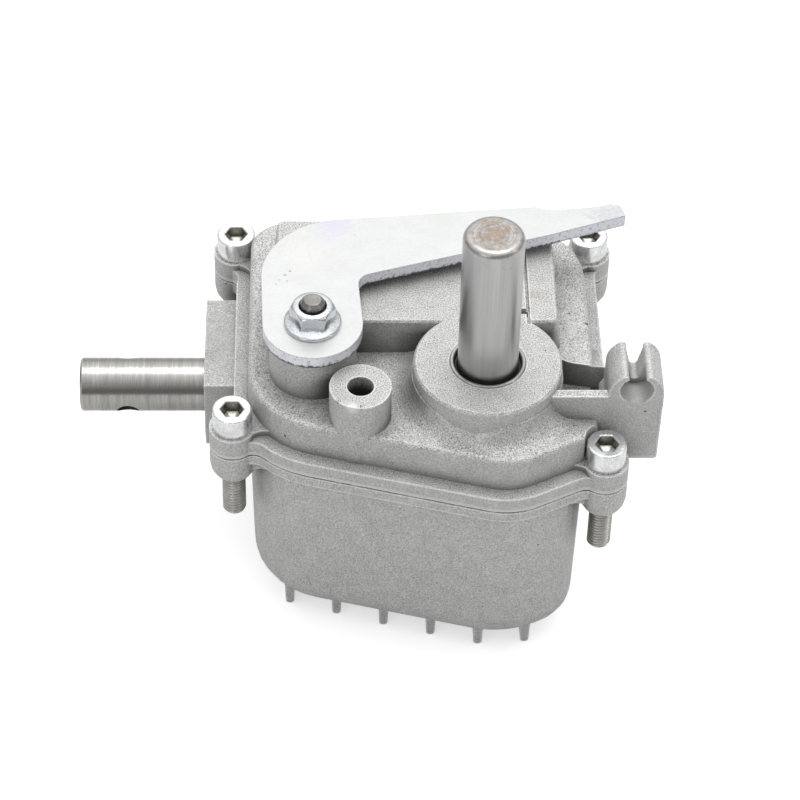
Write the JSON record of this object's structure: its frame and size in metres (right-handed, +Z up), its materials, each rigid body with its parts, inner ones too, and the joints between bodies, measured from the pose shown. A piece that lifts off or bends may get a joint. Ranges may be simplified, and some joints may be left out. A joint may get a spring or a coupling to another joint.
{
  "type": "gear reducer",
  "caption": "Worm gear reducer with a vertical input shaft, a horizontal output shaft, a dog clutch and a cable-worked shift lever.",
  "frame": {"origin": "on the input shaft's axis, in the plane of the mounting faces", "axes": "+Z up the input shaft, -X out along the output shaft, -Y the front, where the cable clamp opens"},
  "size_m": [0.1468, 0.0951, 0.1217],
  "materials": {
    "cast_aluminium": "as cast, shot blasted",
    "pan_aluminium": "as cast, fine grained",
    "gasket": "thin sealing compound",
    "bright_zinc": "bright zinc plated",
    "zinc_sheet": "bright zinc plated sheet",
    "ground_steel": "drawn and ground bar",
    "turned_steel": "turned bar",
    "hard_steel": "hardened steel",
    "bearing_steel": "polished",
    "dark_steel": "dark threaded steel",
    "seal_rubber": "matt",
    "bronze": "machined bronze",
    "spring_wire": "spring wire"
  },
  "bodies": {
    "casing": {"upper_casing": "cast_aluminium", "lower_casing": "pan_aluminium", "casing_gasket": "gasket", "casing_screws": "bright_zinc", "input_seal_ring": "hard_steel", "input_seal": "seal_rubber", "bearing_outer_ring": "bearing_steel", "bearing_balls": "bearing_steel", "bearing_cage": "bronze", "bearing_retaining_ring": "hard_steel", "lower_input_bush": "bronze", "left_output_bush": "bronze", "right_output_bush": "bronze", "output_seal": "seal_rubber", "return_spring": "spring_wire"},
    "input": {"input_shaft": "ground_steel", "shaft_retaining_ring": "hard_steel", "bearing_inner_ring": "bearing_steel", "worm": "hard_steel", "worm_pin": "hard_steel", "lower_thrust_washer": "hard_steel"},
    "wheel": {"worm_wheel": "bronze", "wheel_hub": "hard_steel", "wheel_thrust_washer": "hard_steel"},
    "output": {"output_shaft": "turned_steel", "output_retaining_ring": "hard_steel", "output_thrust_washer": "hard_steel"},
    "sleeve": {"clutch_sleeve": "hard_steel"},
    "selector": {"selector_shaft": "dark_steel", "selector_o_ring": "seal_rubber", "shift_fork": "hard_steel", "fork_shoes": "bronze", "fork_pin": "hard_steel", "lever": "zinc_sheet", "lever_nut": "bright_zinc"}
  },
  "joints": [
    {"name": "input_spin", "type": "hinge", "parent": "casing", "child": "input", "pos_m": [0, 0, 0], "axis": [0, 0, 1], "continuous": true},
    {"name": "wheel_spin", "type": "hinge", "parent": "casing", "child": "wheel", "pos_m": [0, 0.031, -0.0388], "axis": [1, 0, 0], "continuous": true},
    {"name": "output_spin", "type": "hinge", "parent": "casing", "child": "output", "pos_m": [0, 0.031, -0.0388], "axis": [1, 0, 0], "continuous": true},
    {"name": "sleeve_slide", "type": "slide", "parent": "output", "child": "sleeve", "axis": [1, 0, 0], "range_m": [0, 0.00492]},
    {"name": "selector_swing", "type": "hinge", "parent": "casing", "child": "selector", "pos_m": [-0.0432, 0.0075, 0], "axis": [0, 0, 1], "range_deg": [-12, 0], "stiffness_Nm_per_rad": 0.4, "springref_deg": 20.05}
  ],
  "couplings": [
    {"joint": "wheel_spin", "follows": "input_spin", "ratio": 0.045455},
    {"joint": "output_spin", "follows": "input_spin", "ratio": 0.045455},
    {"joint": "sleeve_slide", "follows": "selector_swing", "m_per_rad": -0.023457}
  ]
}
